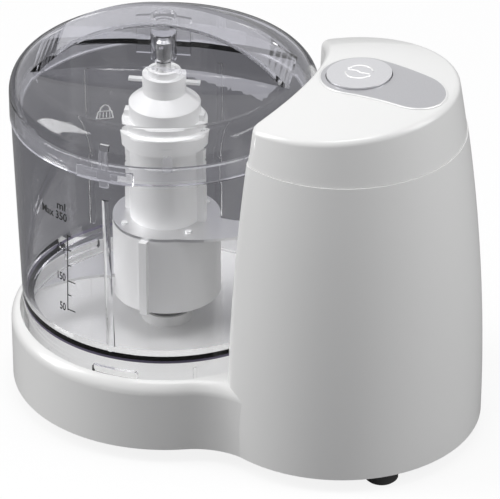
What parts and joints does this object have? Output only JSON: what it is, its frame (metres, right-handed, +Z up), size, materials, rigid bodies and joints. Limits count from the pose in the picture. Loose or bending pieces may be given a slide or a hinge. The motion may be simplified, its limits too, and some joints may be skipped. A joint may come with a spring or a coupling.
{
  "type": "mini food processor",
  "caption": "Mini food processor: clear bowl with bayonet lid and lift-out blade hub on a round plinth, belt-driven by a motor in a tower beside it, with a pulse button.",
  "frame": {"origin": "on the table, below the middle of the housing's length", "axes": "+X from the bowl to the motor tower, +Z up, Y = 0 is the housing's plane of symmetry"},
  "size_m": [0.19, 0.123, 0.1635],
  "materials": {
    "white_plastic": "glossy moulded ABS",
    "white_hub": "satin moulded acetal",
    "silver_plastic": "silver lacquer, satin",
    "clear_plastic": "clear moulded SAN, polished",
    "grey_plastic": "satin moulded",
    "black_plastic": "satin moulded",
    "yellow_plastic": "moulded case",
    "black_rubber": "matt",
    "black_belt": "toothed neoprene",
    "steel": "ground and plated",
    "steel_plate": "pressed zinc-plated sheet",
    "blade_steel": "brushed stainless",
    "lamination": "varnished laminations",
    "winding": "enamelled copper wire",
    "copper": "turned copper",
    "bronze": "sintered bronze",
    "carbon": "pressed carbon",
    "board": "glass-fibre laminate"
  },
  "bodies": {
    "base": {"base_housing": "white_plastic", "board_posts": "white_plastic", "bottom_cover": "grey_plastic", "brush_holders": "black_plastic", "button_spring": "steel", "cap_screws": "steel", "capacitor": "yellow_plastic", "carbon_brushes": "carbon", "circuit_board": "board", "control_plate": "silver_plastic", "cord_clamp": "grey_plastic", "cord_inlet_bush": "black_rubber", "cover_screws": "steel", "drive_belt": "black_belt", "field_coils": "winding", "field_core": "lamination", "interlock_switch": "black_plastic", "motor_bearing_lower": "bronze", "motor_bearing_upper": "bronze", "motor_bracket_lower": "steel_plate", "motor_bracket_upper": "steel_plate", "motor_mounts": "black_rubber", "motor_screws": "steel", "pulse_switch": "black_plastic", "rubber_feet": "black_rubber", "spindle_bearing_lower": "bronze", "spindle_bearing_upper": "bronze", "spindle_seal": "black_rubber", "tower_cap": "white_plastic"},
    "pulse_button": {"pulse_button": "silver_plastic"},
    "rotor": {"motor_shaft": "steel", "armature_core": "lamination", "armature_winding": "winding", "commutator": "copper", "cooling_fan": "black_plastic", "motor_pulley": "steel"},
    "spindle": {"drive_spindle": "steel", "driven_pulley": "grey_plastic", "spindle_clip": "steel"},
    "interlock_plunger": {"interlock_plunger": "white_plastic"},
    "bowl_bush": {"bowl_bush": "white_hub"},
    "bowl": {"bowl": "clear_plastic"},
    "blade_pin": {"blade_pin": "blade_steel"},
    "blade": {"blade_hub": "white_hub", "upper_blade": "blade_steel", "lower_blade": "blade_steel"},
    "lid_bush": {"lid_bush": "clear_plastic"},
    "lid": {"lid": "clear_plastic"}
  },
  "joints": [
    {"name": "pulse_press", "type": "slide", "parent": "base", "child": "pulse_button", "axis": [0, 0, -1], "range_m": [0, 0.0025], "stiffness_N_per_m": 400, "springref_m": -0.002, "deforming": ["button_spring"]},
    {"name": "motor_spin", "type": "hinge", "parent": "base", "child": "rotor", "pos_m": [0.057, 0, 0.07], "axis": [0, 0, 1], "continuous": true},
    {"name": "spindle_spin", "type": "hinge", "parent": "base", "child": "spindle", "pos_m": [-0.0335, 0, 0.02], "axis": [0, 0, 1], "continuous": true},
    {"name": "bowl_lift", "type": "slide", "parent": "base", "child": "bowl_bush", "axis": [0, 0, 1], "range_m": [0, 0.1]},
    {"name": "bowl_turn", "type": "hinge", "parent": "bowl_bush", "child": "bowl", "pos_m": [-0.0335, 0, 0.04], "axis": [0, 0, 1], "range_deg": [0, 20]},
    {"name": "lid_lift", "type": "slide", "parent": "bowl", "child": "lid_bush", "axis": [0, 0, 1], "range_m": [0, 0.12]},
    {"name": "lid_turn", "type": "hinge", "parent": "lid_bush", "child": "lid", "pos_m": [-0.0335, 0, 0.15], "axis": [0, 0, 1], "range_deg": [0, 20]},
    {"name": "blade_lift", "type": "slide", "parent": "bowl_bush", "child": "blade_pin", "axis": [0, 0, 1], "range_m": [0, 0.084]},
    {"name": "blade_spin", "type": "hinge", "parent": "blade_pin", "child": "blade", "pos_m": [-0.0335, 0, 0.1], "axis": [0, 0, 1], "continuous": true},
    {"name": "plunger_rise", "type": "slide", "parent": "base", "child": "interlock_plunger", "axis": [0, 0, 1], "range_m": [0, 0.002]}
  ],
  "couplings": [
    {"joint": "spindle_spin", "follows": "motor_spin", "ratio": 0.16667},
    {"joint": "blade_spin", "follows": "motor_spin", "ratio": 0.16667},
    {"joint": "blade_lift", "follows": "lid_lift", "ratio": 0.7},
    {"joint": "plunger_rise", "follows": "bowl_lift", "ratio": 0.02}
  ]
}
